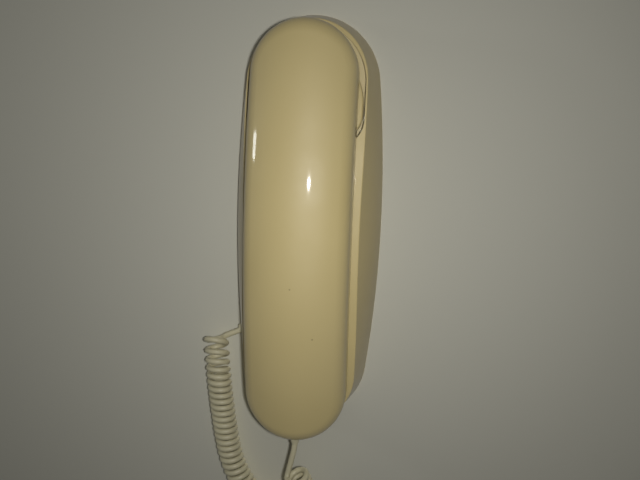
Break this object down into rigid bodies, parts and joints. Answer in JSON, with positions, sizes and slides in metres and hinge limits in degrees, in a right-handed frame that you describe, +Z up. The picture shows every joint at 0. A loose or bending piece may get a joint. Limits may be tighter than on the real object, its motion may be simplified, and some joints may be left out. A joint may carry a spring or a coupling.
{
  "type": "wall telephone",
  "caption": "Slim wall telephone: a bowed full-length handset with push keys on its inner face lies on a flared base, joined by a curly cord.",
  "frame": {"origin": "midway between the two keyholes for the wall screws, on the wall plane", "axes": "+Z up along the phone, +Y into the wall, +X to the right seen from the front"},
  "size_m": [0.0966, 0.057, 0.2865],
  "materials": {
    "ivory_shell": "aged ivory, lightly glossy",
    "cord_jacket": "smooth grey-beige vinyl",
    "key_plastic": "ivory",
    "steel": "plain",
    "board": "green lacquer",
    "black_plastic": "satin",
    "rubber_grey": "matte"
  },
  "bodies": {
    "base": {"base_housing": "ivory_shell", "rear_cover": "ivory_shell", "rear_cover_screws": "steel", "handset_hook": "ivory_shell", "hook_spring": "steel", "hook_switch": "black_plastic", "base_board": "board", "base_board_screws": "steel", "ringer": "black_plastic", "line_jack": "black_plastic", "base_strain_relief": "cord_jacket", "curly_cord": "cord_jacket"},
    "handset": {"handset_back": "ivory_shell", "handset_face": "ivory_shell", "handset_screws": "steel", "receiver": "black_plastic", "receiver_gasket": "rubber_grey", "microphone": "black_plastic", "microphone_boot": "rubber_grey", "keypad_board": "board", "keypad_board_screws": "steel", "key_mat": "rubber_grey", "handset_strain_relief": "cord_jacket"},
    "hook_plunger": {"hook_plunger": "ivory_shell"},
    "key_1": {"key_1": "key_plastic"},
    "key_2": {"key_2": "key_plastic"},
    "key_3": {"key_3": "key_plastic"},
    "key_4": {"key_4": "key_plastic"},
    "key_5": {"key_5": "key_plastic"},
    "key_6": {"key_6": "key_plastic"},
    "key_7": {"key_7": "key_plastic"},
    "key_8": {"key_8": "key_plastic"},
    "key_9": {"key_9": "key_plastic"},
    "key_star": {"key_star": "key_plastic"},
    "key_0": {"key_0": "key_plastic"},
    "key_hash": {"key_hash": "key_plastic"}
  },
  "joints": [
    {"name": "handset_lift", "type": "slide", "parent": "base", "child": "handset", "axis": [0, -0.9397, 0.342], "range_m": [0, 0.08], "deforming": ["curly_cord"]},
    {"name": "hook_plunger_slide", "type": "slide", "parent": "base", "child": "hook_plunger", "axis": [0, -1, 0], "range_m": [0, 0.003], "deforming": ["hook_spring"]},
    {"name": "key_1_press", "type": "slide", "parent": "handset", "child": "key_1", "axis": [0, -1, 0], "range_m": [0, 0.0012], "stiffness_N_per_m": 500},
    {"name": "key_2_press", "type": "slide", "parent": "handset", "child": "key_2", "axis": [0, -1, 0], "range_m": [0, 0.0012], "stiffness_N_per_m": 500},
    {"name": "key_3_press", "type": "slide", "parent": "handset", "child": "key_3", "axis": [0, -1, 0], "range_m": [0, 0.0012], "stiffness_N_per_m": 500},
    {"name": "key_4_press", "type": "slide", "parent": "handset", "child": "key_4", "axis": [0, -1, 0], "range_m": [0, 0.0012], "stiffness_N_per_m": 500},
    {"name": "key_5_press", "type": "slide", "parent": "handset", "child": "key_5", "axis": [0, -1, 0], "range_m": [0, 0.0012], "stiffness_N_per_m": 500},
    {"name": "key_6_press", "type": "slide", "parent": "handset", "child": "key_6", "axis": [0, -1, 0], "range_m": [0, 0.0012], "stiffness_N_per_m": 500},
    {"name": "key_7_press", "type": "slide", "parent": "handset", "child": "key_7", "axis": [0, -1, 0], "range_m": [0, 0.0012], "stiffness_N_per_m": 500},
    {"name": "key_8_press", "type": "slide", "parent": "handset", "child": "key_8", "axis": [0, -1, 0], "range_m": [0, 0.0012], "stiffness_N_per_m": 500},
    {"name": "key_9_press", "type": "slide", "parent": "handset", "child": "key_9", "axis": [0, -1, 0], "range_m": [0, 0.0012], "stiffness_N_per_m": 500},
    {"name": "key_star_press", "type": "slide", "parent": "handset", "child": "key_star", "axis": [0, -1, 0], "range_m": [0, 0.0012], "stiffness_N_per_m": 500},
    {"name": "key_0_press", "type": "slide", "parent": "handset", "child": "key_0", "axis": [0, -1, 0], "range_m": [0, 0.0012], "stiffness_N_per_m": 500},
    {"name": "key_hash_press", "type": "slide", "parent": "handset", "child": "key_hash", "axis": [0, -1, 0], "range_m": [0, 0.0012], "stiffness_N_per_m": 500}
  ],
  "couplings": [
    {"joint": "hook_plunger_slide", "follows": "handset_lift", "ratio": 0.0375}
  ]
}
